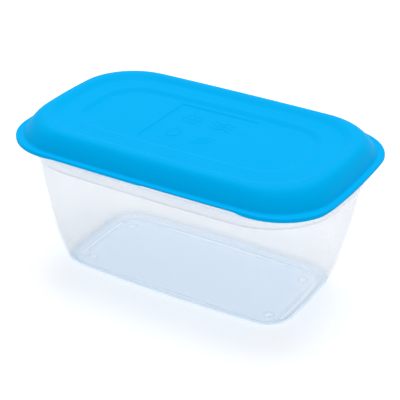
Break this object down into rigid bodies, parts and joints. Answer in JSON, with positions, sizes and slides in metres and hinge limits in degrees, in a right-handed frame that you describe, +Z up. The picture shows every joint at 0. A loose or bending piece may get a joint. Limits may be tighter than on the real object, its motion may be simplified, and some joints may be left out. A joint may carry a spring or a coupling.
{
  "type": "snap lid food container",
  "caption": "Loaf-shaped plastic food box with a translucent, inward-curving tub and a domed soft lid that presses on over the rim and lifts off.",
  "frame": {"origin": "on the surface the box stands on, under the middle of the tub", "axes": "+X along the box's length, +Y across its width, +Z up through the lid"},
  "size_m": [0.2, 0.1244, 0.095],
  "materials": {
    "tub": "translucent, smooth, faintly blue polypropylene",
    "lid": "soft satin bright blue polyethylene"
  },
  "bodies": {
    "tub": {"tub": "tub"},
    "lid": {"lid": "lid"}
  },
  "joints": [
    {"name": "lid_lift", "type": "slide", "parent": "tub", "child": "lid", "axis": [0, 0, 1], "range_m": [0, 0.1]}
  ]
}
